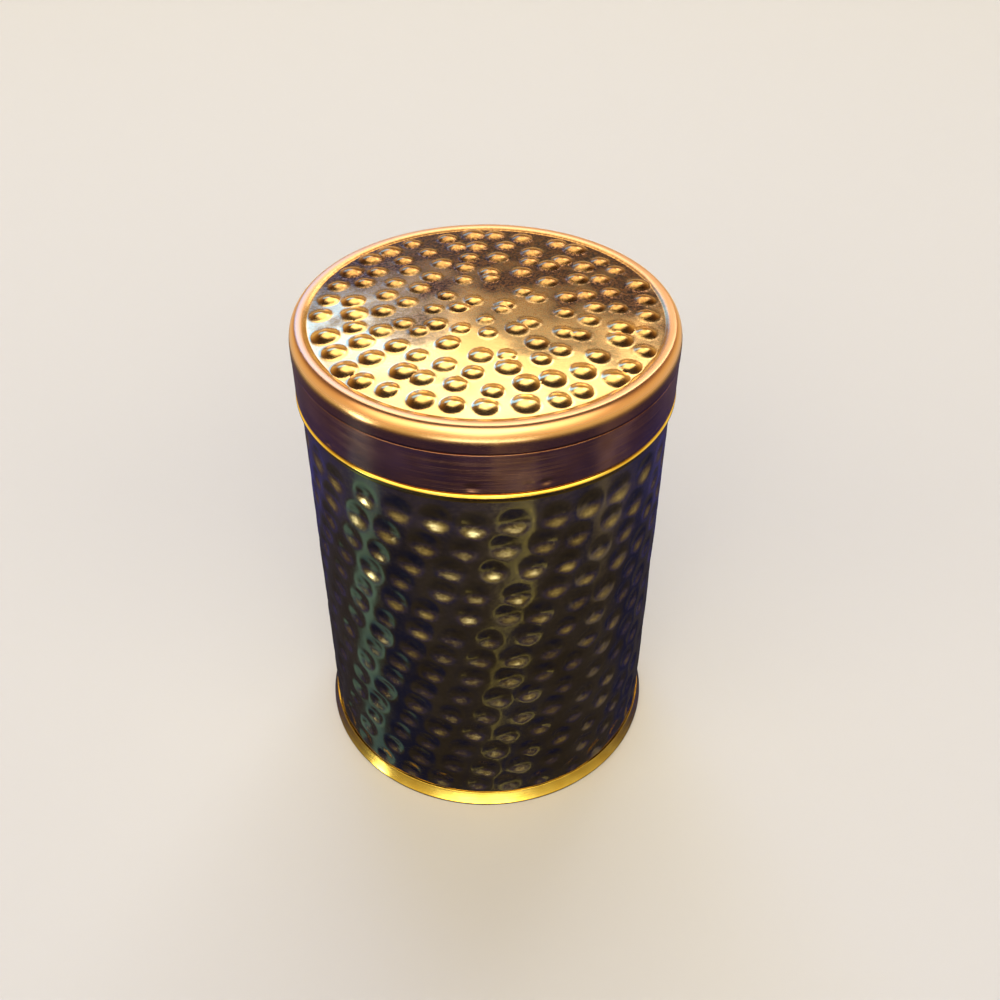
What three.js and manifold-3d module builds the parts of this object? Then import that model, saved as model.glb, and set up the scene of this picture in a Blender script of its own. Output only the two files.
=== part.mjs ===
// Tall round spice box of hammered sheet metal: a brass body with a plain neck, and a copper cap lid that
// slips over it.
// Each ring is a strip rolled round and joined at the back with a brazed butt seam.
// Millimetres, +Z up. The origin is the centre of the foot, on the surface that the box stands on.

import * as THREE from 'three';
import { mergeVertices } from 'three/addons/utils/BufferGeometryUtils.js';
import Module from 'manifold-3d';

const wasm = await Module();
wasm.setup();

// Driving dimensions.
const LID_RADIUS = 50; // outside of the lid's plain band
const SHOULDER_TOP = 140.5; // highest point of the lid's rounded shoulder
const SEAT_TOP = 121.7; // top of the bead that the lid rests on
const FOOT_RADIUS = 50.5; // outside of the foot
const DOME_RISE = 3; // height of the dome above the groove round it
const BODY_SHEET = 0.8; // thickness of the brass sheets
const LID_SHEET = 0.7; // thickness of the copper sheets
const SLIP_FIT = 0.4; // space all round between the neck and the lid band
const SOLDER_GAP = 0.15; // space between two soldered sheets
const SEAM_WIDTH = 1.2; // opening between the two ends of a rolled strip
const SEAM_MARGIN = 0.3; // space between a seam's metal and each strip end
const CLEAR = 0.1; // space between two parts that rest on or run along each other

// Sizes that follow from them.
const BODY_RADIUS = LID_RADIUS - 1;
const BODY_BORE = BODY_RADIUS - BODY_SHEET;
const NECK_RADIUS = LID_RADIUS - LID_SHEET - SLIP_FIT;
const SLEEVE_RADIUS = BODY_BORE - SOLDER_GAP; // what is soldered inside the wall

// Facets: steps round each ring, and steps along each arc of an outline.
const AROUND = 48;
const ALONG = 2;

// Materials.
const metal = (color, roughness) => new THREE.MeshStandardMaterial({ color, roughness, metalness: 1 });
const hammeredBrass = metal(0xc9a24a, 0.24);
const polishedBrass = metal(0xd9b257, 0.18);
const hammeredCopper = metal(0xc9814f, 0.2);
const polishedCopper = metal(0xc4744c, 0.2);
const brazingAlloy = metal(0xb79a62, 0.45);
const softSolder = metal(0x9d9c96, 0.5);
const ironWire = metal(0x6f6c69, 0.5);

// A path of [radius, height] points joined by straight lines.
function line(...points) {
  const path = new THREE.Path();
  path.moveTo(...points[0]);
  points.slice(1).forEach((point) => path.lineTo(...point));
  return path;
}

// The outline of a sheet of that thickness, whose middle follows the path. It is left open where the sheet
// meets the axis.
function sheetOutline(path, thickness) {
  const middle = path.getPoints(ALONG).filter((p, i, all) => i === 0 || p.distanceTo(all[i - 1]) > 1e-6);
  const across = middle.map((point, i) => {
    const before = point.clone().sub(middle[Math.max(i - 1, 0)]).normalize();
    const after = middle[Math.min(i + 1, middle.length - 1)].clone().sub(point).normalize();
    const along = before.clone().add(after).normalize();
    const mitre = Math.max(along.dot(after), along.dot(before));
    return new THREE.Vector2(-along.y, along.x).multiplyScalar(thickness / 2 / mitre);
  });
  const outer = middle.map((point, i) => point.clone().add(across[i]));
  const inner = middle.map((point, i) => point.clone().sub(across[i])).reverse();
  if (middle[0].x === 0) {
    outer[0].x = 0;
    inner[inner.length - 1].x = 0;
    return [...outer, ...inner];
  }
  return [...outer, ...inner, outer[0].clone()];
}

// The outline of a solid ring, from a path that is closed here.
function solidOutline(path) {
  path.closePath();
  return path.getPoints(ALONG);
}

// The ring that an outline makes, turned round the box's axis. Its faces point outwards whichever way the
// outline runs.
function turned(outline) {
  const runsUpwardsOutside = THREE.ShapeUtils.area(outline) > 0;
  const points = runsUpwardsOutside ? outline : [...outline].reverse();
  return new THREE.LatheGeometry(points, AROUND).rotateX(Math.PI / 2);
}

// The ring that a wire of that radius makes, centred on [radius, height].
function wireOutline(radius, height, wireRadius) {
  const path = new THREE.Path();
  path.absarc(radius, height, wireRadius, 0, Math.PI * 2);
  return path.getPoints(4);
}

function toSolid(geometry) {
  const bare = geometry.clone();
  bare.deleteAttribute('normal');
  bare.deleteAttribute('uv');
  const merged = mergeVertices(bare, 1e-4);
  const vertProperties = new Float32Array(merged.attributes.position.array);
  const triVerts = new Uint32Array(merged.index.array);
  return new wasm.Manifold(new wasm.Mesh({ numProp: 3, vertProperties, triVerts }));
}

function toGeometry(solid) {
  const mesh = solid.getMesh();
  const geometry = new THREE.BufferGeometry();
  geometry.setAttribute('position', new THREE.BufferAttribute(mesh.vertProperties, 3));
  geometry.setIndex(new THREE.BufferAttribute(mesh.triVerts, 1));
  geometry.computeVertexNormals();
  return geometry;
}

// A block of that width that crosses a ring's wall at the back, on the +Y side.
function backBlock(width) {
  const depth = 20;
  const height = 400;
  return toSolid(new THREE.BoxGeometry(width, depth, height).translate(0, LID_RADIUS, 0));
}

const box = new THREE.Group();

function add(name, geometry, material) {
  const mesh = new THREE.Mesh(geometry, material);
  mesh.name = name;
  box.add(mesh);
}

// A strip rolled round, open at the back, and the metal of the seam that closes it.
function addRolledStrip(name, seamName, outline, material, seamMaterial) {
  const ring = toSolid(turned(outline));
  add(name, toGeometry(ring.subtract(backBlock(SEAM_WIDTH))), material);
  add(seamName, toGeometry(ring.intersect(backBlock(SEAM_WIDTH - 2 * SEAM_MARGIN))), seamMaterial);
}

// Body wall: a plain tube that stands in the foot and ends inside the seat bead.
const FOOT_FLOOR = 0.75; // thickness of the foot's lip under the wall
const BEAD_OVER_WALL = 0.9; // how far the bead stands above the wall's top edge
const WALL_BOTTOM = FOOT_FLOOR + CLEAR;
const WALL_TOP = SEAT_TOP - BEAD_OVER_WALL;
const wallMiddle = BODY_RADIUS - BODY_SHEET / 2;
const wallPath = line([wallMiddle, WALL_BOTTOM], [wallMiddle, WALL_TOP]);
addRolledStrip('body_wall', 'body_seam', sheetOutline(wallPath, BODY_SHEET), hammeredBrass, brazingAlloy);

// Foot ring: a lip under the wall, a rounded edge, and a cove that sweeps up to the wall.
const FOOT_HEIGHT = 4.8;
const FOOT_EDGE = 0.7; // radius of its rounded edge
const FOOT_EDGE_END = Math.PI / 9; // where the rounding stops, above its widest point
const COVE_OUT = 0.95; // how far out the cove's bend is pulled
const FOOT_TOP_OUT = 0.4; // how far out the foot's thin top edge stands
const ringBore = BODY_RADIUS + SOLDER_GAP;
const footEdgeRadius = FOOT_RADIUS - FOOT_EDGE;
const footPath = new THREE.Path();
footPath.moveTo(BODY_BORE, 0);
footPath.lineTo(footEdgeRadius, 0);
footPath.absarc(footEdgeRadius, FOOT_EDGE, FOOT_EDGE, -Math.PI / 2, FOOT_EDGE_END);
footPath.quadraticCurveTo(
  BODY_RADIUS + COVE_OUT,
  FOOT_HEIGHT / 2,
  BODY_RADIUS + FOOT_TOP_OUT,
  FOOT_HEIGHT - CLEAR,
);
footPath.lineTo(ringBore, FOOT_HEIGHT);
footPath.lineTo(ringBore, FOOT_FLOOR);
footPath.lineTo(BODY_BORE, FOOT_FLOOR);
addRolledStrip('foot_ring', 'foot_seam', solidOutline(footPath), polishedBrass, brazingAlloy);

// Bottom plate: a shallow tray, upside down, slightly crowned so that only the foot touches the table.
const PLATE_LEVEL = 4.2;
const PLATE_CROWN = 0.8;
const PLATE_BEND = 1.2; // radius of its turned-down edge
const PLATE_RIM = 0.3; // how far its turned-down edge stops above the foot's lip
const plateEdge = SLEEVE_RADIUS - BODY_SHEET / 2;
const crownEdge = plateEdge * 0.35;
const crownFoot = plateEdge * 0.8;
const platePath = new THREE.Path();
platePath.moveTo(0, PLATE_LEVEL + PLATE_CROWN);
platePath.lineTo(crownEdge, PLATE_LEVEL + PLATE_CROWN);
platePath.lineTo(crownFoot, PLATE_LEVEL);
platePath.lineTo(plateEdge - PLATE_BEND, PLATE_LEVEL);
platePath.absarc(plateEdge - PLATE_BEND, PLATE_LEVEL - PLATE_BEND, PLATE_BEND, Math.PI / 2, 0, true);
platePath.lineTo(plateEdge, FOOT_FLOOR + PLATE_RIM);
add('bottom_plate', turned(sheetOutline(platePath, BODY_SHEET)), polishedBrass);

// Braze: the fillet that seals the bottom plate to the wall, inside.
const BRAZE_SIZE = 1.3;
const brazeRadius = BODY_BORE - CLEAR;
const brazeFoot = PLATE_LEVEL + BODY_SHEET / 2 + CLEAR;
const brazePath = line(
  [brazeRadius, brazeFoot],
  [brazeRadius, brazeFoot + BRAZE_SIZE],
  [brazeRadius - BRAZE_SIZE, brazeFoot],
);
add('bottom_braze', turned(solidOutline(brazePath)), brazingAlloy);

// Seat bead: a half-round brass ring over the wall's top edge, with a thin skirt that laps down the wall.
// The lid rests on it.
const BEAD_RADIUS = 1;
const BEAD_SKIRT = 1.1; // how far the skirt goes down below the round
const BEAD_SKIRT_EDGE = 0.3; // thickness of the skirt, and height of its sloped edge
const BEAD_WAIST = 0.2; // thickness where the round begins
const BEAD_ROUND_START = -Math.PI / 2.4;
const beadBottom = SEAT_TOP - 2 * BEAD_RADIUS;
const beadCentre = ringBore + 0.05;
const beadPath = new THREE.Path();
beadPath.moveTo(ringBore, beadBottom - BEAD_SKIRT);
beadPath.lineTo(ringBore + BEAD_SKIRT_EDGE, beadBottom - BEAD_SKIRT + BEAD_SKIRT_EDGE);
beadPath.lineTo(ringBore + BEAD_WAIST, beadBottom);
beadPath.absarc(beadCentre, SEAT_TOP - BEAD_RADIUS, BEAD_RADIUS, BEAD_ROUND_START, Math.PI / 2);
beadPath.lineTo(ringBore, SEAT_TOP);
addRolledStrip('seat_bead', 'bead_seam', solidOutline(beadPath), polishedBrass, brazingAlloy);

// Neck: a plain collar soldered inside the wall's mouth. It steps out above the wall to carry the lid, and
// its mouth is rolled inwards round a wire.
const NECK_SHEET = 0.6;
const NECK_TOP = 132.4;
const NECK_LAP = 9; // how far it goes down inside the wall
const NECK_STEP = 1.2; // height of the slope that steps it out
const WIRE_RADIUS = 0.7;
const ROLL_ROOM = 0.15; // space between the wire and the sheet rolled round it
const ROLL_END = Math.PI * 1.25; // where the roll stops, from its outermost point
const neckBottom = WALL_TOP - NECK_LAP;
const neckStepFoot = WALL_TOP + 2 * CLEAR;
const rollRadius = WIRE_RADIUS + ROLL_ROOM + NECK_SHEET / 2;
const sleeveMiddle = SLEEVE_RADIUS - NECK_SHEET / 2;
const neckMiddle = NECK_RADIUS - NECK_SHEET / 2;
const rollCentre = [neckMiddle - rollRadius, NECK_TOP - NECK_SHEET / 2 - rollRadius];
const neckPath = line(
  [sleeveMiddle, neckBottom],
  [sleeveMiddle, neckStepFoot],
  [neckMiddle, neckStepFoot + NECK_STEP],
);
neckPath.absarc(...rollCentre, rollRadius, 0, ROLL_END);
addRolledStrip('neck_collar', 'neck_seam', sheetOutline(neckPath, NECK_SHEET), polishedBrass, brazingAlloy);
add('mouth_wire', turned(wireOutline(...rollCentre, WIRE_RADIUS)), ironWire);

// Solder: the fillet under the neck's lower edge, inside the wall.
const SOLDER_ACROSS = 0.8;
const SOLDER_DOWN = 1.3;
const neckSolderRadius = BODY_BORE - CLEAR;
const neckSolderPath = line(
  [neckSolderRadius, neckBottom - CLEAR - SOLDER_DOWN],
  [neckSolderRadius, neckBottom - CLEAR],
  [neckSolderRadius - SOLDER_ACROSS, neckBottom - CLEAR],
);
add('neck_solder', turned(solidOutline(neckSolderPath)), softSolder);

// Lid band: plain copper, with its top edge necked in so that the lid top's flange laps over it.
const LID_SEAT_GAP = 0.3;
const FLANGE_DROP = 7; // from the shoulder's top down to the flange's edge
const BAND_TOP_DROP = 3.6; // from the shoulder's top down to the band's necked-in edge
const NECKED_IN = 0.75;
const NECKING_HEIGHT = 0.25; // height of the slope that necks it in
const NECKING_ROOM = 0.3; // from the slope's top up to the flange's edge
const flangeBottom = SHOULDER_TOP - FLANGE_DROP;
const bandMiddle = LID_RADIUS - LID_SHEET / 2;
const bandTop = SHOULDER_TOP - BAND_TOP_DROP;
const bandPath = line(
  [bandMiddle, SEAT_TOP + LID_SEAT_GAP],
  [bandMiddle, flangeBottom - NECKING_ROOM - NECKING_HEIGHT],
  [bandMiddle - NECKED_IN, flangeBottom - NECKING_ROOM],
  [bandMiddle - NECKED_IN, bandTop],
);
addRolledStrip('lid_band', 'lid_band_seam', sheetOutline(bandPath, LID_SHEET), polishedCopper, brazingAlloy);

// Lid top: a dome inside a shallow groove, then a shoulder rounded as a quarter of a tall ellipse, and a
// short flange over the band.
const SHOULDER_WIDTH = 2.2;
const SHOULDER_DROP = 4.4;
const GROOVE_DEPTH = 0.5;
const GROOVE_FLAT = 0.9; // width of the groove's floor
const GROOVE_IN = 2.9; // from the shoulder in to where the dome starts
const DOME_STEPS = 7;
const halfLidSheet = LID_SHEET / 2;
const bendWidth = SHOULDER_WIDTH - halfLidSheet;
const bendDrop = SHOULDER_DROP - halfLidSheet;
const flangeMiddle = LID_RADIUS - NECKED_IN + SOLDER_GAP + halfLidSheet;
const bendRadius = flangeMiddle - bendWidth;
const bendLevel = SHOULDER_TOP - SHOULDER_DROP;
const grooveRadius = bendRadius - GROOVE_IN;
const grooveLevel = SHOULDER_TOP - halfLidSheet - GROOVE_DEPTH;
const domeRadius = (grooveRadius ** 2 + DOME_RISE ** 2) / (2 * DOME_RISE);
const domeHalfAngle = Math.asin(grooveRadius / domeRadius);
const lidTopPath = new THREE.Path();
lidTopPath.moveTo(0, grooveLevel + DOME_RISE);
for (let i = 1; i <= DOME_STEPS; i++) {
  const angle = (domeHalfAngle * i) / DOME_STEPS;
  const drop = domeRadius * (1 - Math.cos(angle));
  lidTopPath.lineTo(domeRadius * Math.sin(angle), grooveLevel + DOME_RISE - drop);
}
lidTopPath.lineTo(grooveRadius + GROOVE_FLAT, grooveLevel);
lidTopPath.lineTo(bendRadius, SHOULDER_TOP - halfLidSheet);
lidTopPath.absellipse(bendRadius, bendLevel, bendWidth, bendDrop, Math.PI / 2, Math.PI / 4, true);
lidTopPath.absellipse(bendRadius, bendLevel, bendWidth, bendDrop, Math.PI / 4, 0, true);
lidTopPath.lineTo(flangeMiddle, flangeBottom);
add('lid_top', turned(sheetOutline(lidTopPath, LID_SHEET)), hammeredCopper);

// Solder: the ring of tin solder on the band's top edge, against the inside of the lid top.
const LID_SOLDER_ACROSS = 0.55;
const LID_SOLDER_UP = 1;
const LID_SOLDER_LEAN = 0.15; // how far its top leans in, as the lid top's inside does
const lidSolderRadius = LID_RADIUS - NECKED_IN - CLEAR;
const lidSolderBottom = bandTop + CLEAR;
const lidSolderPath = line(
  [lidSolderRadius, lidSolderBottom],
  [lidSolderRadius - LID_SOLDER_LEAN, lidSolderBottom + LID_SOLDER_UP],
  [lidSolderRadius - LID_SOLDER_ACROSS, lidSolderBottom],
);
add('lid_solder', turned(solidOutline(lidSolderPath)), softSolder);

export default box;
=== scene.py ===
"""Looks of a tall round spice box: a hammered brass body on a flared foot, and a copper cap lid over a neck.

Every sheet is a path of (radius, height) points turned round the box's axis and given its thickness. The
hammer marks are moved into those sheets, so that they are real shape. Lengths are in millimetres until a
piece's mesh is made.
"""

import math
import random

import bmesh
import bpy
from mathutils import Matrix, Vector, kdtree, noise


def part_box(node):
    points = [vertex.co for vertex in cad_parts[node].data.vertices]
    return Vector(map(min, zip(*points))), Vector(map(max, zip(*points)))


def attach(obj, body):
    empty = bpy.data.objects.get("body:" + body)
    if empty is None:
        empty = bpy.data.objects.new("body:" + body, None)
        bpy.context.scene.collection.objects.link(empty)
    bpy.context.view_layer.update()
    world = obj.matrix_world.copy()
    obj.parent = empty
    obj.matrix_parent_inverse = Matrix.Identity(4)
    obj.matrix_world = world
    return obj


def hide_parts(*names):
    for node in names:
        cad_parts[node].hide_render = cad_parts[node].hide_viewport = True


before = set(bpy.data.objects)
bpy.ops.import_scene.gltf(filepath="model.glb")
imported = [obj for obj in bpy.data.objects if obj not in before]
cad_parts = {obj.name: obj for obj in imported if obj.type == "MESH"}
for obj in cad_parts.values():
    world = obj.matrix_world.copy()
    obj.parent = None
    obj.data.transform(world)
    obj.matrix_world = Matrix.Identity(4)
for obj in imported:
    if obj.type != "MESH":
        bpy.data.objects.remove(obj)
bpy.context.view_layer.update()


MM = 0.001  # one millimetre in Blender's metres

# Where the CAD pieces are, in millimetres.


def top_of(node):
    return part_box(node)[1][2] / MM


def bottom_of(node):
    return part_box(node)[0][2] / MM


def radius_of(node):
    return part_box(node)[1][0] / MM


# Sheets and fits, as the CAD model has them.
BODY_SHEET = 0.8
NECK_SHEET = 0.6
LID_SHEET = 0.7
SLIP_FIT = 0.4  # space between the neck and the lid band
SOLDER_GAP = 0.15  # space between two soldered sheets
SEAM_WIDTH = 1.2  # width of a brazed butt seam
INSIDE = 0.02  # how far the rings stay inside the CAD's outline
BODY_RADIUS = radius_of("body_wall")
BODY_BORE = BODY_RADIUS - BODY_SHEET
LID_RADIUS = radius_of("lid_band")
NECK_RADIUS = LID_RADIUS - LID_SHEET - SLIP_FIT
SLEEVE_RADIUS = BODY_BORE - SOLDER_GAP

# Facets.
ROUND = 360  # steps round the box
SEAM_STEPS = 2  # steps across a seam
DOUBLINGS = 3  # how many times a short spin is doubled to go all the way round

random.seed(7)


# ---------------------------------------------------------------- making meshes


def line(start, end, steps):
    """Points from start towards end, without the end."""
    return [
        (start[0] + (end[0] - start[0]) * i / steps, start[1] + (end[1] - start[1]) * i / steps)
        for i in range(steps)
    ]


def arc(centre, radius, start, end, steps):
    """Points on an arc from one angle to another, both ends included. Angles are in degrees."""
    angles = [math.radians(start + (end - start) * i / steps) for i in range(steps + 1)]
    return [(centre[0] + radius * math.cos(a), centre[1] + radius * math.sin(a)) for a in angles]


def curve(start, bend, end, steps):
    """Points on a curve from start to end, without start. It leaves and arrives along the lines to bend."""
    a, b, c = Vector(start), Vector(bend), Vector(end)
    shares = [i / steps for i in range(1, steps + 1)]
    return [tuple(a * (1 - t) ** 2 + b * 2 * t * (1 - t) + c * t**2) for t in shares]


def turn(path, closed, first=0.0, sweep=360.0, steps=ROUND):
    """A bmesh of the path turned round the Z axis, from the angle first, counted from +X.

    A part of the way is spun, and is then doubled until it goes all the way. That is much faster than one
    long spin.
    """
    bm = bmesh.new()
    start = Matrix.Rotation(math.radians(first), 3, "Z")
    verts = [bm.verts.new(start @ Vector((radius * MM, 0, height * MM))) for radius, height in path]
    edges = [bm.edges.new(pair) for pair in zip(verts, verts[1:])]
    if closed:
        edges.append(bm.edges.new((verts[-1], verts[0])))
    doublings = DOUBLINGS if steps % 2**DOUBLINGS == 0 else 0
    part = math.radians(sweep) / 2**doublings
    bmesh.ops.spin(
        bm, geom=verts + edges, cent=(0, 0, 0), axis=(0, 0, 1), angle=part, steps=steps // 2**doublings
    )
    for doubling in range(doublings):
        copied = bmesh.ops.duplicate(bm, geom=bm.verts[:] + bm.edges[:] + bm.faces[:])["geom"]
        moved = [element for element in copied if isinstance(element, bmesh.types.BMVert)]
        bmesh.ops.rotate(bm, verts=moved, matrix=Matrix.Rotation(part * 2**doubling, 3, "Z"))
    bmesh.ops.remove_doubles(bm, verts=bm.verts, dist=1e-7)
    if closed and sweep < 360:
        bmesh.ops.holes_fill(bm, edges=[edge for edge in bm.edges if edge.is_boundary])
    bmesh.ops.recalc_face_normals(bm, faces=bm.faces)
    return bm


def face_outwards(bm):
    """Turns an open sheet's faces away from the axis, or up where it lies flat."""
    total = sum((f.calc_center_median().normalized().dot(f.normal) * f.calc_area() for f in bm.faces), 0.0)
    if total < 0:
        bmesh.ops.reverse_faces(bm, faces=bm.faces)


def finish_piece(name, bm, materials, body, slot, *nodes):
    """Makes the object, smooth-shaded, with its materials, hangs it under its body's empty and hides the CAD
    nodes it stands for.
    """
    mesh = bpy.data.meshes.new(name)
    bm.to_mesh(mesh)
    bm.free()
    mesh.shade_smooth()
    mesh.set_sharp_from_angle(angle=math.radians(40))
    piece = bpy.data.objects.new(name, mesh)
    bpy.context.collection.objects.link(piece)
    for material in materials:
        mesh.materials.append(material)
    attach(piece, body)
    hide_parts(*nodes)
    return piece


def thicken(piece, sheet, offset=0.0, inside_slot=0, edge=0.0):
    """Gives a turned sheet its thickness, and rounds its cut edges."""
    solidify = piece.modifiers.new("sheet", "SOLIDIFY")
    solidify.thickness = sheet * MM
    solidify.offset = offset
    solidify.use_even_offset = True
    solidify.material_offset = inside_slot
    if edge:
        bevel = piece.modifiers.new("edge", "BEVEL")
        bevel.width = edge * MM
        bevel.segments = 2
        bevel.limit_method = "ANGLE"
        bevel.angle_limit = math.radians(60)


# Angles that a rolled strip and its seam take up. The seam is at the back, on the +Y side.


def seam_angle(radius):
    return math.degrees(SEAM_WIDTH / radius)


def strip(path, closed, radius):
    """The rolled strip: all the way round but for the seam."""
    gap = seam_angle(radius)
    return turn(path, closed, first=90 + gap / 2, sweep=360 - gap, steps=ROUND)


def seam(path, closed, radius):
    """The seam that closes a rolled strip."""
    gap = seam_angle(radius)
    return turn(path, closed, first=90 - gap / 2, sweep=gap, steps=SEAM_STEPS)


# ---------------------------------------------------------------- hammer marks


def mark_tree(marks):
    """A search tree over the marks' centres, which are in millimetres."""
    tree = kdtree.KDTree(len(marks))
    for index, (centre, _, _) in enumerate(marks):
        tree.insert(centre, index)
    tree.balance()
    return tree


WAVE_LENGTH = 17  # of the broad waves in a hammered sheet


def hammer(bm, marks, direction, waviness, softness):
    """Moves each vertex along direction(place) by the deepest mark on it, and keeps how far into it that is.

    A mark is round in the middle. The more softness, the more gently it runs out at its edge. Waviness is
    the height of the broad waves that hammering leaves in the sheet.
    """
    tree = mark_tree(marks)
    reach = max(radius for _, radius, _ in marks)
    layer = bm.verts.layers.float.new("mark")
    for vert in bm.verts:
        place = vert.co / MM
        depth = 0.0
        share = 0.0
        for _, index, distance in tree.find_range(place, reach):
            _, radius, height = marks[index]
            here = max(0.0, 1 - (distance / radius) ** 2) ** softness
            if here * abs(height) > abs(depth):
                depth = here * height
                share = here
        ripple = waviness * noise.noise(place / WAVE_LENGTH)
        vert.co += direction(place) * (depth + ripple) * MM
        vert[layer] = share
    bm.normal_update()


POLISH_FADE = 0.8  # how far the rim's polish takes to start
RUB_FADE = 1.5  # how far up the shoulder the hands' rubbing takes to start


def wear_rim(bm, radius, low):
    """Marks the rim: 1 where it is polished, outside that radius, and 2 where hands rub it, above low."""
    layer = bm.verts.layers.float["mark"]
    for vert in bm.verts:
        polished = (vert.co.xy.length / MM - radius) / POLISH_FADE
        rubbed = 1 + (vert.co.z / MM - low) / RUB_FADE
        vert[layer] = max(vert[layer], min(polished, max(1.0, rubbed), 2.0))


def outwards(place):
    return Vector((place.x, place.y, 0)).normalized()


def upwards(place):
    return Vector((0, 0, 1))


ROWS_FROM = 8.8  # height of the wall's lowest row of dimples
PLAIN_UNDER_BEAD = 2.5  # the strip under the bead that the hammer doesn't reach
ROW_STEP = 7.9  # between rows of dimples
DIMPLES_ROUND = 31  # dimples in one row
ROW_SHIFT = 0.31  # how far each row is turned from the one below, as a share of a step
DIMPLE_RADIUS = 4.3
DIMPLE_DEPTH = 0.62


def wall_marks():
    """Dimples in rows round the wall, each row turned a little from the last, none of them quite in line."""
    marks = []
    highest = bottom_of("seat_bead") - PLAIN_UNDER_BEAD - DIMPLE_RADIUS
    rows = int((highest - ROWS_FROM) / ROW_STEP) + 1
    for row in range(rows):
        for i in range(DIMPLES_ROUND):
            step = 360 / DIMPLES_ROUND
            angle = math.radians(step * (i + ROW_SHIFT * row + random.uniform(-0.09, 0.09)))
            height = ROWS_FROM + ROW_STEP * row + random.uniform(-0.7, 0.7)
            centre = Vector((BODY_RADIUS * math.cos(angle), BODY_RADIUS * math.sin(angle), height))
            size = random.uniform(0.86, 1.06)
            depth = DIMPLE_DEPTH * (1.15 - 0.25 * row / rows) * size * random.uniform(0.8, 1.1)
            marks.append((centre, DIMPLE_RADIUS * size, -depth))
    return marks


RINGS_OF_BUMPS = 6
BUMP_STEP = 7.9  # between bumps along a ring
RING_STEP = 7.1  # between rings of bumps
BUMP_RADIUS = 3.35
BUMP_HEIGHT = 1.12


def lid_marks(outer, level):
    """Bumps in rings on the lid, less and less regular towards the middle."""
    marks = []
    for ring in range(RINGS_OF_BUMPS):
        radius = outer - RING_STEP * ring
        count = max(3, round(2 * math.pi * radius / BUMP_STEP))
        turn_by = random.uniform(0, 1)
        for i in range(count):
            loose = 0.16 + 0.05 * ring
            angle = 2 * math.pi * (i + turn_by + random.uniform(-loose, loose)) / count
            away = radius + random.uniform(-1, 1) * (0.9 + 0.35 * ring)
            centre = Vector((away * math.cos(angle), away * math.sin(angle), level(away)))
            size = random.uniform(0.82, 1.06) * (1 - 0.04 * ring)
            marks.append((centre, BUMP_RADIUS * size, BUMP_HEIGHT * size * random.uniform(0.85, 1.08)))
    return marks


KNOCKS_AT = (-93, -78, -73, -24, 31, 77, 140, 198, 221)  # degrees round the band, counted from +X


def knocks(radius, low):
    """Small dents near the band's lower edge, from years of being put down hard."""
    marks = []
    for around in KNOCKS_AT:
        angle = math.radians(around)
        height = low + random.uniform(0.8, 2.4)
        centre = Vector((radius * math.cos(angle), radius * math.sin(angle), height))
        marks.append((centre, random.uniform(0.9, 1.7), -random.uniform(0.12, 0.22)))
    return marks


# ---------------------------------------------------------------- materials


def linear(colour):
    """An sRGB hex colour as the linear colour that a shader takes."""
    parts = [int(colour[i : i + 2], 16) / 255 for i in (1, 3, 5)]
    return tuple(p / 12.92 if p <= 0.04045 else ((p + 0.055) / 1.055) ** 2.4 for p in parts) + (1.0,)


COORDINATES = "ShaderNodeTexCoord"
NOISE = "ShaderNodeTexNoise"
RAMP = "ShaderNodeValToRGB"
MATH = "ShaderNodeMath"
MIX = "ShaderNodeMix"
BUMP = "ShaderNodeBump"


def add(tree, kind, inputs=None, stops=(), out=0, **settings):
    """Adds a node with its settings and links, and returns the output socket asked for.

    inputs gives its sockets values, or the sockets that feed them. stops are a colour ramp's places, each
    with its colour or grey.
    """
    node = tree.nodes.new(kind)
    for key, value in settings.items():
        setattr(node, key, value)
    for key, value in (inputs or {}).items():
        if isinstance(value, bpy.types.NodeSocket):
            tree.links.new(value, node.inputs[key])
        else:
            node.inputs[key].default_value = value
    for index, (place, colour) in enumerate(stops):
        if index > 1:
            node.color_ramp.elements.new(place)
        node.color_ramp.elements[index].position = place
        node.color_ramp.elements[index].color = (
            linear(colour) if isinstance(colour, str) else (colour, colour, colour, 1.0)
        )
    return None if out is None else node.outputs[out]


def new_material(name):
    """A material with no nodes yet. Returns the material, its tree and its Object coordinates."""
    material = bpy.data.materials.new(name)
    material.use_nodes = True
    tree = material.node_tree
    tree.nodes.clear()
    return material, tree, add(tree, COORDINATES, out="Object")


def finish_metal(tree, colour, roughness, grain, strength, depth):
    """The metal's shader, with the grain as a bump of that depth in millimetres."""
    bump = add(tree, BUMP, {"Strength": strength, "Distance": depth * MM, "Height": grain})
    inputs = {"Base Color": colour, "Roughness": roughness, "Metallic": 1.0, "Normal": bump}
    shader = add(tree, "ShaderNodeBsdfPrincipled", inputs)
    add(tree, "ShaderNodeOutputMaterial", {"Surface": shader}, out=None)


def per_metre(size):
    """The noise scale that gives patches of that size in millimetres, on Object coordinates in metres."""
    return 1 / (size * MM)


def lines_round(tree, place, pitch, length):
    """Fine scratches that run round the box: noise that changes fast up the box and slowly round it.

    Real ones are a few hundredths of a millimetre wide. They are drawn coarser here, so that they show.
    """
    scale = (per_metre(length), per_metre(length), per_metre(pitch))
    stretched = add(tree, "ShaderNodeMapping", {"Vector": place, "Scale": scale})
    return add(tree, NOISE, {"Vector": stretched, "Scale": 1.0, "Detail": 4.0})


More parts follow.
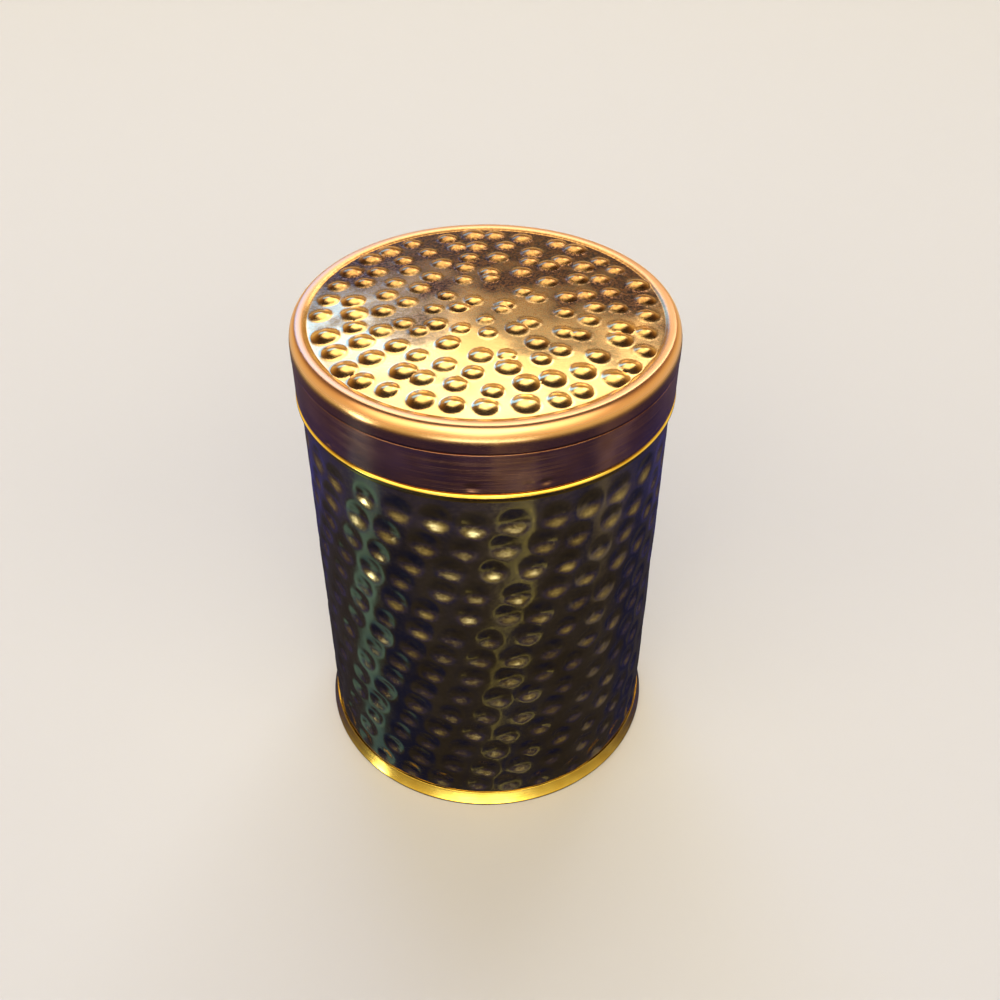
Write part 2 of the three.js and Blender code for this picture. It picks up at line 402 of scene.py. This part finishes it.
def hammered_brass():
    """Sheet brass, hammered and polished. The hammer leaves its dimples a little duller and browner."""
    material, tree, place = new_material("hammered sheet brass")
    mark = add(tree, "ShaderNodeAttribute", attribute_name="mark", out="Fac")
    tarnish = add(tree, NOISE, {"Vector": place, "Scale": per_metre(14), "Detail": 5.0})
    grime = add(tree, NOISE, {"Vector": place, "Scale": per_metre(1.2), "Detail": 4.0})
    fine = add(tree, NOISE, {"Vector": place, "Scale": per_metre(0.9), "Detail": 3.0})
    clean = add(tree, RAMP, {0: tarnish}, [(0.35, "#B9A66C"), (0.65, "#D8C68A")])
    dark = add(tree, RAMP, {0: grime}, [(0.40, "#8A7A4E"), (0.62, "#B8A468")])
    dull = add(tree, RAMP, {0: mark}, [(0.05, 0.15), (0.55, 0.45)])
    colour = add(tree, MIX, {0: dull, 6: clean, 7: dark}, out=2, data_type="RGBA")
    roughness = add(tree, RAMP, {0: grime}, [(0.35, 0.12), (0.70, 0.20)])
    finish_metal(tree, colour, roughness, fine, 0.12, 0.1)
    return material


def inner_brass():
    """The same sheet brass, left as it came from the hammer: matt and brown."""
    material, tree, place = new_material("unpolished sheet brass")
    stain = add(tree, NOISE, {"Vector": place, "Scale": per_metre(9), "Detail": 6.0})
    scale = add(tree, NOISE, {"Vector": place, "Scale": per_metre(1.1), "Detail": 5.0})
    colour = add(tree, RAMP, {0: stain}, [(0.32, "#8F7138"), (0.68, "#C2A056")])
    roughness = add(tree, RAMP, {0: stain}, [(0.30, 0.30), (0.70, 0.45)])
    finish_metal(tree, colour, roughness, scale, 0.15, 0.08)
    return material


def bright_brass():
    """Plain sheet brass, polished on a wheel: bright gold, with hairlines round it."""
    material, tree, place = new_material("wheel-polished brass")
    hairlines = lines_round(tree, place, 0.35, 30)
    stain = add(tree, NOISE, {"Vector": place, "Scale": per_metre(8), "Detail": 5.0})
    colour = add(tree, RAMP, {0: stain}, [(0.35, "#E8BE48"), (0.70, "#FCDA66")])
    roughness = add(tree, RAMP, {0: hairlines}, [(0.35, 0.13), (0.70, 0.24)])
    finish_metal(tree, colour, roughness, hairlines, 0.1, 0.05)
    return material


TOWARDS_PAINTED_SHADE = (2.5, 10.0, 0.0)  # the way the lid's painted shade deepens, towards the back and the right, and how fast for each metre


def hammered_copper():
    """Sheet copper, hammered from inside: bright bumps, with dark grainy patina between them.

    Towards the back and the right it is darkened with painted shade: the patina between the bumps thickens
    and the bumps turn to tarnish colours there, on top of random blotches of patina. The patina is rubbed
    off where the lid is held.
    """
    material, tree, place = new_material("hammered sheet copper")
    mark = add(tree, "ShaderNodeAttribute", attribute_name="mark", out="Fac")
    speckle = add(tree, NOISE, {"Vector": place, "Scale": per_metre(0.8), "Detail": 7.0, "Roughness": 0.75})
    blotch = add(tree, NOISE, {"Vector": place, "Scale": per_metre(12), "Detail": 4.0})
    # painted shade: a gradient that darkens the lid towards the back and the right
    across = add(
        tree, "ShaderNodeVectorMath", {0: place, 1: TOWARDS_PAINTED_SHADE}, out="Value", operation="DOT_PRODUCT"
    )
    # random blotches of patina, plus that painted shade
    patina_and_shade_amount = add(tree, MATH, {0: across, 1: blotch}, operation="ADD")
    patina_and_shade_mask = add(tree, RAMP, {0: patina_and_shade_amount}, [(0.30, 0.0), (0.42, 0.55), (0.70, 1.0)])
    raised = add(tree, RAMP, {0: mark}, [(0.12, 0.0), (0.48, 1.0)])
    clean = add(tree, RAMP, {0: blotch}, [(0.35, "#E4B470"), (0.65, "#F0CA86")])
    golden = add(tree, RAMP, {0: blotch}, [(0.35, "#DCAA5E"), (0.65, "#ECC478")])
    tarnish_and_painted_shade = add(tree, RAMP, {0: speckle}, [(0.40, "#8E6236"), (0.60, "#BE8C4C")])
    grainy = add(tree, RAMP, {0: speckle}, [(0.42, "#1E120D"), (0.50, "#472C1C"), (0.58, "#845A38")])
    # bump tops: polished gold, turned to darker tarnish colours by the blotches and by the painted shade
    # towards the back and right
    bright = add(tree, MIX, {0: patina_and_shade_mask, 6: golden, 7: tarnish_and_painted_shade}, out=2, data_type="RGBA")
    # between the bumps: clean copper, or dark grainy patina where the blotches and the painted shade say
    valley_patina_and_shade = add(tree, MIX, {0: patina_and_shade_mask, 6: clean, 7: grainy}, out=2, data_type="RGBA")
    uneven = add(tree, MIX, {0: raised, 6: valley_patina_and_shade, 7: bright}, out=2, data_type="RGBA")
    rim = add(tree, "ShaderNodeMapRange", {0: mark, 1: 1.0, 2: 2.0})
    top = add(tree, MIX, {0: rim, 6: uneven, 7: linear("#E6B080")}, out=2, data_type="RGBA")
    height = add(tree, "ShaderNodeSeparateXYZ", {0: place}, out="Z")
    # below the shoulder, the flange is as pink as the band
    shoulder = top_of("lid_band") * MM
    above = add(tree, "ShaderNodeMapRange", {0: height, 1: shoulder - 1.2 * MM, 2: shoulder + 1.0 * MM})
    colour = add(tree, MIX, {0: above, 6: linear("#C08A68"), 7: top}, out=2, data_type="RGBA")
    matt = add(tree, RAMP, {0: speckle}, [(0.42, 0.45), (0.60, 0.22)])
    polish = add(tree, RAMP, {0: speckle}, [(0.35, 0.20), (0.65, 0.14)])
    rough = add(tree, MIX, {0: patina_and_shade_mask, 6: polish, 7: matt}, out=2, data_type="RGBA")
    even = add(tree, MIX, {0: raised, 6: rough, 7: polish}, out=2, data_type="RGBA")
    roughness = add(tree, MIX, {0: rim, 6: even, 7: (0.30, 0.30, 0.30, 1.0)}, out=2, data_type="RGBA")
    finish_metal(tree, colour, roughness, speckle, 0.25, 0.06)
    return material


def polished_copper():
    """Plain sheet copper, polished, with fine scratches round it from the lid being wiped and turned."""
    material, tree, place = new_material("polished sheet copper")
    scratches = lines_round(tree, place, 0.3, 22)
    stain = add(tree, NOISE, {"Vector": place, "Scale": per_metre(10), "Detail": 5.0})
    colour = add(tree, RAMP, {0: stain}, [(0.35, "#C08A68"), (0.70, "#DCA886")])
    roughness = add(tree, RAMP, {0: scratches}, [(0.35, 0.12), (0.70, 0.27)])
    finish_metal(tree, colour, roughness, scratches, 0.30, 0.05)
    return material


def dull_metal(name, dark, light, roughness):
    """A cast or drawn metal that nobody polishes: one mottled colour and a matt surface."""
    material, tree, place = new_material(name)
    mottle = add(tree, NOISE, {"Vector": place, "Scale": per_metre(1.5), "Detail": 4.0})
    colour = add(tree, RAMP, {0: mottle}, [(0.35, dark), (0.65, light)])
    finish_metal(tree, colour, roughness, mottle, 0.3, 0.1)
    return material


brass_wall = hammered_brass()
brass_inside = inner_brass()
brass_bright = bright_brass()
copper_top = hammered_copper()
copper_band = polished_copper()
spelter = dull_metal("brazing spelter", "#8C7340", "#BFA465", 0.42)
solder = dull_metal("tin solder", "#7E7B74", "#A9A69E", 0.45)
iron = dull_metal("drawn iron wire", "#4A4643", "#6B6662", 0.5)


# ---------------------------------------------------------------- canister

WALL_ROWS = 128  # steps up the wall


def make_wall():
    low = bottom_of("body_wall")
    high = top_of("body_wall")
    path = line((BODY_RADIUS, low), (BODY_RADIUS, high), WALL_ROWS) + [(BODY_RADIUS, high)]
    marks = wall_marks()
    for name, shape, material, slot, node in (
        ("hammered_wall", strip, brass_wall, "hammered_brass", "body_wall"),
        ("wall_seam", seam, spelter, "brazing_alloy", "body_seam"),
    ):
        bm = shape(path, False, BODY_RADIUS)
        face_outwards(bm)
        hammer(bm, marks, outwards, 0.2, 1.5)
        piece = finish_piece(name, bm, [material, brass_inside], "canister", slot, node)
        thicken(piece, BODY_SHEET, offset=-1, inside_slot=1)


def ring_and_seam(names, path, closed, radius, material, slot, body, nodes, sheet=0.0, edge=0.0, marks=()):
    """A rolled ring and the seam that closes it, from one outline. marks are knocks it has had in use."""
    for name, shape, finish, its_slot, node in (
        (names[0], strip, material, slot, nodes[0]),
        (names[1], seam, spelter, "brazing_alloy", nodes[1]),
    ):
        bm = shape(path, closed, radius)
        if not closed:
            face_outwards(bm)
        if marks:
            hammer(bm, marks, outwards, 0.05, 1.2)
        piece = finish_piece(name, bm, [finish], body, its_slot, node)
        if sheet:
            thicken(piece, sheet, edge=edge)


FOOT_EDGE = 0.7  # radius of the foot's rounded edge
FOOT_EDGE_END = 20  # degrees above its widest point, where that rounding stops
COVE_OUT = 0.95  # how far out from the wall the cove's bend is pulled
FOOT_TOP_OUT = 0.34  # how far out the foot's thin top edge stands
FOOT_TOP_EDGE = 0.12  # radius of that edge


def make_foot():
    radius = radius_of("foot_ring") - INSIDE
    height = top_of("foot_ring")
    bore = BODY_RADIUS + SOLDER_GAP
    lip = bottom_of("body_wall") - 0.1
    cove_top = height - 0.15
    edge = arc((radius - FOOT_EDGE, FOOT_EDGE), FOOT_EDGE, -90, FOOT_EDGE_END, 12)
    bend = (BODY_RADIUS + COVE_OUT, height * 0.5)
    cove = curve(edge[-1], bend, (BODY_RADIUS + FOOT_TOP_OUT, cove_top), 14)
    top = arc((BODY_RADIUS + FOOT_TOP_OUT - FOOT_TOP_EDGE, cove_top), FOOT_TOP_EDGE, 0, 90, 4)[1:]
    outline = [(BODY_BORE, 0)] + edge + cove + top + [(bore, height - 0.1), (bore, lip), (BODY_BORE, lip)]
    ring_and_seam(
        ("foot", "foot_joint"), outline, True, radius, brass_bright, "polished_brass", "canister",
        ("foot_ring", "foot_seam"),
    )


BEAD_ROUND = 1.0  # radius of the bead's round side


def make_bead():
    top = top_of("seat_bead")
    bottom = bottom_of("seat_bead")
    bore = BODY_RADIUS + SOLDER_GAP
    radius = radius_of("seat_bead") - INSIDE
    bulge = arc((radius - BEAD_ROUND, top - BEAD_ROUND), BEAD_ROUND, 90, -60, 16)
    cove = curve(bulge[-1], (bore + 0.12, bulge[-1][1] - 0.1), (bore + 0.1, bottom + 0.05), 6)
    outline = [(bore, top)] + bulge + cove + [(bore, bottom + 0.05)]
    ring_and_seam(
        ("bead", "bead_joint"), outline, True, radius, brass_bright, "polished_brass", "canister",
        ("seat_bead", "bead_seam"),
    )


NECK_WIRE = 0.7  # radius of the wire in the rolled mouth
WIRE_ROOM = 0.15  # space round that wire
STEP_FROM = 0.1  # where the neck starts to step out, above the wall's top
STEP_TO = 1.5  # where it stops


def make_neck():
    low = bottom_of("neck_collar")
    high = top_of("neck_collar")
    step = top_of("body_wall")
    sleeve = SLEEVE_RADIUS - NECK_SHEET / 2
    middle = NECK_RADIUS - NECK_SHEET / 2
    roll = NECK_WIRE + WIRE_ROOM + NECK_SHEET / 2
    centre = (middle - roll, high - NECK_SHEET / 2 - roll)
    path = line((sleeve, low), (sleeve, step + STEP_FROM), 8)
    path += line((sleeve, step + STEP_FROM), (middle, step + STEP_TO), 4)
    path += line((middle, step + STEP_TO), (middle, centre[1]), 12)
    path += arc(centre, roll, 0, 225, 24)
    ring_and_seam(
        ("neck", "neck_joint"), path, False, middle, brass_bright, "polished_brass", "canister",
        ("neck_collar", "neck_seam"), sheet=NECK_SHEET, edge=0.12,
    )
    wire = turn(arc(centre, NECK_WIRE, 0, 345, 15), True, steps=184)
    finish_piece("mouth_wire_coil", wire, [iron], "canister", "iron_wire", "mouth_wire")


PLATE_CROWN = 0.8  # how much higher the plate is in its middle
PLATE_BEND = 1.2  # radius of the bend at its edge


def make_bottom():
    edge = radius_of("bottom_plate") - BODY_SHEET / 2
    bottom = bottom_of("bottom_plate")
    crown = top_of("bottom_plate") - BODY_SHEET / 2
    level = crown - PLATE_CROWN
    path = line((0, crown), (edge * 0.35, crown), 8)
    path += line((edge * 0.35, crown), (edge * 0.8, level), 12)
    path += line((edge * 0.8, level), (edge - PLATE_BEND, level), 4)
    path += arc((edge - PLATE_BEND, level - PLATE_BEND), PLATE_BEND, 90, 0, 8)
    path += [(edge, bottom)]
    bm = turn(path, False, steps=184)
    face_outwards(bm)
    piece = finish_piece("bottom_tray", bm, [brass_inside], "canister", "polished_brass", "bottom_plate")
    thicken(piece, BODY_SHEET)


def fillet(name, corner, across, up, material, body, slot, node):
    """A ring of filler metal in a corner, with a hollow face.

    across is how far it reaches towards the axis, and up is how far it reaches up the wall, or down if
    negative.
    """
    radius, height = corner
    steps = 6
    hollow = [
        (radius - across * (1 - math.sin(a)), height + up * (1 - math.cos(a)))
        for a in (math.pi / 2 * i / steps for i in range(steps + 1))
    ]
    bm = turn([corner] + hollow, True, steps=184)
    finish_piece(name, bm, [material], body, slot, node)


# ---------------------------------------------------------------- lid

DOME_ROWS = 74  # steps from the lid's middle to its groove
LID_ROUND = 448  # steps round the lid
SHOULDER_WIDTH = 2.2  # of the quarter ellipse at the lid's edge
SHOULDER_DROP = 4.4  # its height
SKIRT = 7.0  # from the shoulder's top down to the edge of the lid top
GROOVE_DEPTH = 0.5  # of the shallow groove between the bumps and the shoulder
GROOVE_IN = 2.9  # from the shoulder's start in to the groove
BUMPS_IN = 3.3  # from the groove in to the middle of the outer ring of bumps


def make_lid_top():
    top_edge = radius_of("lid_top") - LID_SHEET / 2
    flange_bottom = bottom_of("lid_top")
    shoulder_top = flange_bottom + SKIRT - LID_SHEET / 2
    width = SHOULDER_WIDTH - LID_SHEET / 2
    drop = SHOULDER_DROP - LID_SHEET / 2
    groove = top_edge - width - GROOVE_IN
    groove_level = shoulder_top - GROOVE_DEPTH
    rise = top_of("lid_top") - LID_SHEET / 2 - groove_level - BUMP_HEIGHT - 0.05
    dome = (groove**2 + rise**2) / (2 * rise)

    def level(radius):
        return groove_level + rise - dome + math.sqrt(dome**2 - radius**2)

    path = [(groove * i / DOME_ROWS, level(groove * i / DOME_ROWS)) for i in range(DOME_ROWS + 1)]
    half_way = (groove + 1.1, groove_level + GROOVE_DEPTH / 2)
    path += curve(path[-1], (groove + 0.6, groove_level - 0.06), half_way, 4)
    path += curve(path[-1], (groove + 1.6, shoulder_top), (groove + 2.3, shoulder_top), 4)
    for angle in range(90, -1, -5):
        a = math.radians(angle)
        path.append((top_edge - width + width * math.cos(a), shoulder_top - drop + drop * math.sin(a)))
    path += line((top_edge, shoulder_top - drop - 0.4), (top_edge, flange_bottom), 4)
    path += [(top_edge, flange_bottom)]
    bm = turn(path, False, steps=LID_ROUND)
    face_outwards(bm)
    hammer(bm, lid_marks(groove - BUMPS_IN, level), upwards, 0.1, 1.02)
    wear_rim(bm, groove + 0.3, shoulder_top - 3.2)
    piece = finish_piece("domed_top", bm, [copper_top], "lid", "hammered_copper", "lid_top")
    thicken(piece, LID_SHEET, edge=0.12)


SET_IN = 0.75  # how far the band is set in at its top, to fit under the lid top's flange
SET_IN_FROM = 0.55  # where it starts to go in, below the flange
SET_IN_TO = 0.3  # where it stops


def make_band():
    middle = LID_RADIUS - LID_SHEET / 2
    low = bottom_of("lid_band")
    high = top_of("lid_band")
    flange = bottom_of("lid_top")
    path = line((middle, low), (middle, flange - SET_IN_FROM), 26)
    path += line((middle, flange - SET_IN_FROM), (middle - SET_IN, flange - SET_IN_TO), 4)
    path += line((middle - SET_IN, flange - SET_IN_TO), (middle - SET_IN, high), 2)
    path += [(middle - SET_IN, high)]
    ring_and_seam(
        ("band", "band_joint"), path, False, middle, copper_band, "polished_copper", "lid",
        ("lid_band", "lid_band_seam"), sheet=LID_SHEET, edge=0.12, marks=knocks(middle, low),
    )


make_wall()
make_foot()
make_bead()
make_neck()
make_bottom()
fillet("tray_braze", (BODY_BORE - 0.05, top_of("bottom_plate") - 0.7), 1.3, 1.3, spelter, "canister",
       "brazing_alloy", "bottom_braze")
fillet("neck_fillet", (BODY_BORE - 0.05, bottom_of("neck_collar") - 0.05), 0.8, -1.2, solder, "canister",
       "soft_solder", "neck_solder")
make_lid_top()
make_band()
fillet("lid_fillet", (radius_of("lid_solder") - 0.1, bottom_of("lid_solder")), 0.5, 1.0, solder, "lid",
       "soft_solder", "lid_solder")


# ---------------------------------------------------------------- camera, floor and light


LENS = 40.9  # focal length
LOOK_DOWN = 40.41  # how far below level the camera looks, in degrees
ROLL = 0.33  # how far it is turned about its own line of sight, in degrees
CAMERA_PLACE = (3.87, -250.95, 291.41)  # in front of the box, and above it


def add_camera():
    data = bpy.data.cameras.new("camera")
    data.lens = LENS
    data.sensor_width = 36
    camera = bpy.data.objects.new("camera", data)
    bpy.context.collection.objects.link(camera)
    pitch = math.radians(90 - LOOK_DOWN)
    look = Matrix.Rotation(pitch, 4, "X") @ Matrix.Rotation(math.radians(ROLL), 4, "Z")
    camera.matrix_world = Matrix.Translation(Vector(CAMERA_PLACE) * MM) @ look
    bpy.context.scene.camera = camera


def add_floor():
    """A pale floor, just under the box, that curves up into a wall far away on every side."""
    flat = 1400
    bend = 900
    path = line((0, -0.05), (flat, -0.05), 4) + arc((flat, bend - 0.05), bend, -90, 0, 16)
    bm = turn(path, False, steps=64)
    bmesh.ops.reverse_faces(bm, faces=bm.faces)
    mesh = bpy.data.meshes.new("floor")
    bm.to_mesh(mesh)
    bm.free()
    mesh.shade_smooth()
    floor = bpy.data.objects.new("floor", mesh)
    bpy.context.collection.objects.link(floor)
    material = bpy.data.materials.new("pale paper")
    material.use_nodes = True
    shader = material.node_tree.nodes["Principled BSDF"]
    shader.inputs["Base Color"].default_value = linear("#CACCD2")
    shader.inputs["Roughness"].default_value = 0.9
    mesh.materials.append(material)
    floor.visible_glossy = False


def towards(azimuth, elevation):
    """The direction of a place in the room. Azimuth 0 is behind the box, and 90 is on its right."""
    around = math.radians(azimuth)
    up = math.radians(elevation)
    return Vector((math.sin(around) * math.cos(up), math.cos(around) * math.cos(up), math.sin(up)))


def add_floor_light():
    """A big soft light overhead for the floor alone. The metals take their light from the room."""
    data = bpy.data.lights.new("floor_light", "AREA")
    data.size = 1.6
    data.energy = FLOOR_LIGHT * math.pi * data.size**2
    data.color = linear("#EEF1FF")[:3]
    light = bpy.data.objects.new("floor_light", data)
    bpy.context.collection.objects.link(light)
    light.location = (-0.3, -0.1, 1.6)
    light.visible_camera = False
    light.visible_glossy = False


def soft_light(tree, direction, azimuth, elevation, inner, outer, brightness, colour):
    """A round soft light in the room. It fades from the inner to the outer radius, both in degrees."""
    centre = tuple(towards(azimuth, elevation))
    facing = add(
        tree, "ShaderNodeVectorMath", {0: direction, 1: centre}, out="Value", operation="DOT_PRODUCT"
    )
    edges = {0: facing, 1: math.cos(math.radians(outer)), 2: math.cos(math.radians(inner)), 4: brightness}
    share = add(tree, "ShaderNodeMapRange", edges, interpolation_type="SMOOTHSTEP")
    return add(tree, "ShaderNodeVectorMath", {0: linear(colour)[:3], 3: share}, operation="SCALE")


FULL_LEAN = 26  # the most that an upright glow leans, in degrees


def upright_glow(tree, around, upright, azimuth, width, lean, stops, brightness, colour):
    """A glow in the room that stands at that azimuth, as bright at each height as the stops say.

    It leans away from its azimuth at each height, by the share of FULL_LEAN that lean says.
    """
    share = add(tree, RAMP, {0: upright}, lean)
    bent = add(tree, MATH, {0: share, 1: math.radians(FULL_LEAN)}, operation="MULTIPLY")
    away = add(tree, MATH, {0: around, 1: math.radians(azimuth)}, operation="SUBTRACT")
    away = add(tree, MATH, {0: away, 1: bent}, operation="SUBTRACT")
    away = add(tree, MATH, {0: away, 1: math.pi, 2: -math.pi}, operation="WRAP")
    away = add(tree, MATH, {0: away}, operation="ABSOLUTE")
    edges = {0: away, 1: math.radians(width), 2: math.radians(width * 0.35), 4: brightness}
    share = add(tree, "ShaderNodeMapRange", edges, interpolation_type="SMOOTHSTEP")
    share = add(tree, MATH, {0: share, 1: add(tree, RAMP, {0: upright}, stops)}, operation="MULTIPLY")
    return add(tree, "ShaderNodeVectorMath", {0: linear(colour)[:3], 3: share}, operation="SCALE")


WOBBLE = 0.08  # how much the lights' edges waver


def add_room():
    """A dim room with a few soft lights, blue and brown below, and a warm glow round it at table height."""
    world = bpy.data.worlds.new("dim room")
    bpy.context.scene.world = world
    world.use_nodes = True
    tree = world.node_tree
    tree.nodes.clear()
    straight = add(tree, COORDINATES, out="Generated")
    cloud = add(tree, NOISE, {"Vector": straight, "Scale": 3.0, "Detail": 1.0}, out="Color")
    wobble = add(tree, "ShaderNodeVectorMath", {0: cloud, 1: (0.5, 0.5, 0.5)}, operation="SUBTRACT")
    direction = add(
        tree, "ShaderNodeVectorMath", {0: wobble, 1: (WOBBLE, WOBBLE, WOBBLE), 2: straight},
        operation="MULTIPLY_ADD",
    )
    height = add(tree, "ShaderNodeSeparateXYZ", {0: straight}, out="Z")
    upright = add(tree, MATH, {0: height, 1: 0.5, 2: 0.5}, operation="MULTIPLY_ADD")
    sideways = add(tree, "ShaderNodeSeparateXYZ", {0: direction}, out="X")
    forwards = add(tree, "ShaderNodeSeparateXYZ", {0: direction}, out="Y")
    around = add(tree, MATH, {0: sideways, 1: forwards}, operation="ARCTAN2")
    patch = add(tree, NOISE, {"Vector": straight, "Scale": 2.2, "Detail": 1.0})
    blue = add(tree, RAMP, {0: upright}, [
        (0.0, "#1B1F4C"), (0.14, "#232652"), (0.172, "#27284E"), (0.188, "#343678"), (0.208, "#343058"),
        (0.25, "#6E6470"),
    ])
    brown = add(tree, RAMP, {0: upright}, [
        (0.0, "#312E38"), (0.14, "#3A3640"), (0.172, "#3C3846"), (0.188, "#424084"), (0.208, "#443C5C"),
        (0.25, "#786A64"),
    ])
    mixed = add(tree, RAMP, {0: patch}, [(0.36, 0.0), (0.52, 1.0)])
    below = add(tree, MIX, {0: mixed, 6: blue, 7: brown}, out=2, data_type="RGBA")
    above = add(tree, RAMP, {0: upright}, [
        (0.25, "#7A6E5E"), (0.28, "#B0A288"), (0.32, "#FAEAC4"), (0.51, "#FFE8A4"), (0.60, "#E8C88C"),
        (0.72, "#B08C60"), (0.80, "#826448"), (0.90, "#4C3A34"), (1.00, "#332C3C"),
    ])
    rising = add(tree, RAMP, {0: upright}, [(0.24, 0.0), (0.26, 1.0)])
    total = add(tree, MIX, {0: rising, 6: below, 7: above}, out=2, data_type="RGBA")
    left_lean = [(0.09, 0.54), (0.14, 0.50), (0.175, 0.0)]
    left = [(0.02, 0.2), (0.12, 0.6), (0.17, 0.8), (0.19, 0.3), (0.45, 0.0)]
    front_lean = [(0.12, 1.0), (0.15, 0.38), (0.165, 0.0), (0.175, 0.3), (0.20, 0.85)]
    front = [(0.09, 0.0), (0.165, 1.0), (0.18, 0.5), (0.36, 0.0)]
    no_lean = [(0.0, 0.0), (1.0, 0.0)]
    bar = [(0.298, 0.0), (0.318, 1.0), (0.336, 1.0), (0.350, 0.0)]
    for light in (
        # high behind the box
        soft_light(tree, direction, -2, 54, 7, 27, 3.2, "#FFFBEC"),
        # in front, in the middle and on both sides, for the lid's shoulder and the near sides of its bumps
        soft_light(tree, direction, 182, 30, 20, 32, 4.0, "#FFF4D8"),
        soft_light(tree, direction, 136, 28, 14, 30, 2.4, "#FFF0C8"),
        soft_light(tree, direction, 228, 28, 14, 30, 2.4, "#FFF0C8"),
        # behind, blue on the left and white on the right
        soft_light(tree, direction, -18, 32, 4, 11, 5.0, "#4595FF"),
        soft_light(tree, direction, 24, 36, 4, 12, 3.0, "#FFFFFF"),
        # low down: a dull one on the right, and a small strong one on the left
        soft_light(tree, direction, 98, -31, 5, 14, 0.26, "#C4B898"),
        soft_light(tree, direction, -112, -27, 4, 9, 10.0, "#F4FAFF"),
        # a broad teal column on the left, a narrow streak at the front, and a low bar in front for the foot
        upright_glow(tree, around, upright, -100, 13, left_lean, left, 0.62, "#74ACC4"),
        upright_glow(tree, around, upright, 150, 3, front_lean, front, 1.1, "#E0DCA8"),
        upright_glow(tree, around, upright, 182, 36, no_lean, bar, 6.0, "#E8F0FF"),
    ):
        total = add(tree, "ShaderNodeVectorMath", {0: total, 1: light}, operation="ADD")
    background = add(tree, "ShaderNodeBackground", {"Color": total})
    add(tree, "ShaderNodeOutputWorld", {"Surface": background}, out=None)


FLOOR_LIGHT = 0.9  # how bright the light for the floor is

add_camera()
add_floor()
add_room()
add_floor_light()
bpy.context.scene.view_settings.view_transform = "Standard"
